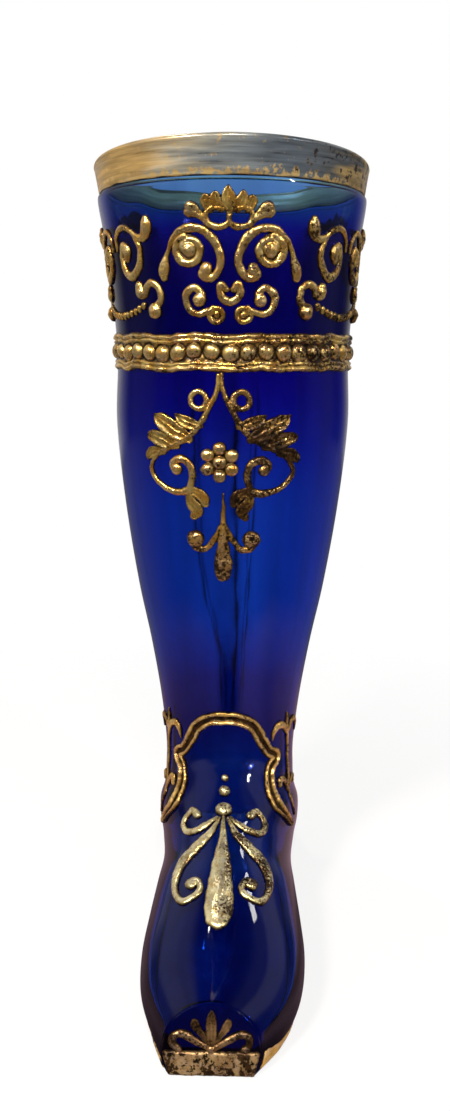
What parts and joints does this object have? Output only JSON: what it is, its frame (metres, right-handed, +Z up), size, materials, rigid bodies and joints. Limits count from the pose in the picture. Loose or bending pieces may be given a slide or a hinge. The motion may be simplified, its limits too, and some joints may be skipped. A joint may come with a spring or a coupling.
{
  "type": "glass boot",
  "caption": "Blown cobalt-blue glass boot, open at the mouth, with a gilt band, a beaded gilt belt and raised gilt scrollwork on the cuff, leg, ankle, instep and toe.",
  "frame": {"origin": "on the floor under the axis of the leg, on the flat of the heel", "axes": "+Z up along the leg, toe towards -Y, +X across the boot to the wearer's left"},
  "size_m": [0.1, 0.1735, 0.2794],
  "materials": {
    "cobalt_glass": "clear, polished, blown",
    "gilt": "fired gold over raised paste, satin, worn in the hollows",
    "band_gilt": "fired gold, burnished, rubbed at the lower edge",
    "worn_gilt": "fired gold, mottled and rubbed through"
  },
  "bodies": {
    "root": {"ankle_cartouche": "gilt", "ankle_spray_left": "gilt", "ankle_spray_right": "gilt", "beaded_belt": "gilt", "cuff_front_comma_left": "gilt", "cuff_front_comma_right": "gilt", "cuff_front_crown": "gilt", "cuff_front_curl_left": "gilt", "cuff_front_curl_right": "gilt", "cuff_front_heart": "gilt", "cuff_front_lower_scroll_left": "gilt", "cuff_front_lower_scroll_right": "gilt", "cuff_front_seed_swag": "gilt", "cuff_front_spiral_left": "gilt", "cuff_front_spiral_right": "gilt", "cuff_left_comma_left": "gilt", "cuff_left_comma_right": "gilt", "cuff_left_crown": "gilt", "cuff_left_curl_left": "gilt", "cuff_left_curl_right": "gilt", "cuff_left_heart": "gilt", "cuff_left_lower_scroll_left": "gilt", "cuff_left_lower_scroll_right": "gilt", "cuff_left_seed_swag": "gilt", "cuff_left_spiral_left": "gilt", "cuff_left_spiral_right": "gilt", "cuff_right_comma_left": "gilt", "cuff_right_comma_right": "gilt", "cuff_right_crown": "gilt", "cuff_right_curl_left": "gilt", "cuff_right_curl_right": "gilt", "cuff_right_heart": "gilt", "cuff_right_lower_scroll_left": "gilt", "cuff_right_lower_scroll_right": "gilt", "cuff_right_seed_swag": "gilt", "cuff_right_spiral_left": "gilt", "cuff_right_spiral_right": "gilt", "glass_boot": "cobalt_glass", "instep_bead_large": "gilt", "instep_bead_middle": "gilt", "instep_bead_small": "gilt", "instep_drop": "gilt", "instep_lower_scroll_left": "gilt", "instep_lower_scroll_right": "gilt", "instep_upper_scroll_left": "gilt", "instep_upper_scroll_right": "gilt", "leg_drop": "gilt", "leg_rosette": "gilt", "leg_spray_left": "gilt", "leg_spray_right": "gilt", "rim_band": "band_gilt", "sole_edge_left": "worn_gilt", "sole_edge_right": "worn_gilt", "toe_bead": "gilt", "toe_palmette": "gilt", "toe_plate": "worn_gilt", "toe_scroll_left": "gilt", "toe_scroll_right": "gilt"}
  },
  "joints": []
}
